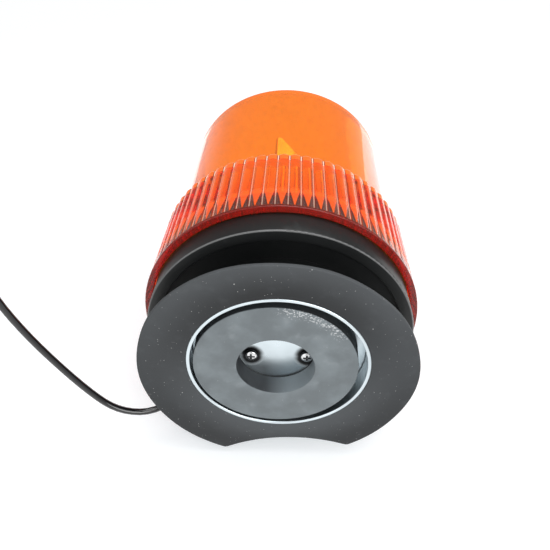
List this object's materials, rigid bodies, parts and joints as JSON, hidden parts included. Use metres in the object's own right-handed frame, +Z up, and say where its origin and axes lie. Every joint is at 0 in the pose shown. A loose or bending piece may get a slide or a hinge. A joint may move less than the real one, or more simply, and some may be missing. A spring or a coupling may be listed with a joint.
{
  "type": "magnetic warning light",
  "caption": "Portable rotating warning light: amber reeded lens on a black base, rubber-flanged ring magnet below, cord with lighter plug.",
  "frame": {"origin": "on the light's axis, at the plane of the magnet face and the rubber flange", "axes": "+Z up along the light's axis to the top of the lens; +Y towards the notch in the flange; the cord leaves towards -X"},
  "size_m": [0.2358, 0.1596, 0.1493],
  "materials": {
    "amber_lens": "clear amber, gloss",
    "black_plastic": "moulded, satin",
    "rubber": "matt, dusty",
    "zinc_steel": "zinc plated",
    "black_steel": "blackened",
    "ferrite": "sintered, ground face",
    "white_plastic": "moulded gear plastic",
    "mirror_metal": "polished sheet",
    "brass": "bright",
    "bulb_glass": "clear",
    "tungsten": "drawn wire",
    "cord_sheath": "soft sheath, satin"
  },
  "bodies": {
    "base": {"lens_gasket": "rubber", "base_housing": "black_plastic", "rubber_boot": "rubber", "magnet_pot": "zinc_steel", "ring_magnet": "ferrite", "pot_screws": "black_steel", "pot_nuts": "zinc_steel", "cord_grommet": "rubber", "chassis_plate": "zinc_steel", "chassis_screws": "zinc_steel", "lamp_post": "white_plastic", "post_nut": "white_plastic", "rotor_ring": "zinc_steel", "bulb_holder": "brass", "holder_contact": "brass", "bulb_cap": "brass", "bulb_glass": "bulb_glass", "bulb_filament": "tungsten", "idler_axle": "zinc_steel", "idler_clip": "zinc_steel", "motor_can": "zinc_steel", "motor_cover": "black_plastic", "motor_screws": "zinc_steel", "supply_cord": "cord_sheath", "cord_coil": "cord_sheath", "coil_tie": "black_plastic", "cord_tail": "cord_sheath", "plug_relief": "black_plastic", "plug_body": "black_plastic", "plug_contacts": "zinc_steel", "plug_collar": "black_plastic"},
    "lens": {"lens": "amber_lens"},
    "rotor": {"rotor_gear": "white_plastic", "reflector": "mirror_metal", "reflector_screws": "zinc_steel"},
    "idler": {"idler_gear": "white_plastic"},
    "armature": {"motor_shaft": "zinc_steel", "motor_pinion": "brass"},
    "plug_tip": {"plug_pin": "zinc_steel"}
  },
  "joints": [
    {"name": "reflector_spin", "type": "hinge", "parent": "base", "child": "rotor", "pos_m": [0, 0, 0.05], "axis": [0, 0, 1], "continuous": true},
    {"name": "idler_spin", "type": "hinge", "parent": "base", "child": "idler", "pos_m": [0.02494, -0.0144, 0.045], "axis": [0, 0, 1], "continuous": true},
    {"name": "motor_spin", "type": "hinge", "parent": "base", "child": "armature", "pos_m": [0.02828, 0.00451, 0.04], "axis": [0, 0, 1], "continuous": true},
    {"name": "lens_twist", "type": "hinge", "parent": "base", "child": "lens", "pos_m": [0, 0, 0.041], "axis": [0, 0, 1], "range_deg": [0, 22]},
    {"name": "plug_tip_press", "type": "slide", "parent": "base", "child": "plug_tip", "axis": [0, -1, 0], "range_m": [0, 0.003], "stiffness_N_per_m": 900, "springref_m": -0.003}
  ],
  "couplings": [
    {"joint": "idler_spin", "follows": "reflector_spin", "ratio": -5},
    {"joint": "motor_spin", "follows": "reflector_spin", "ratio": 15}
  ]
}
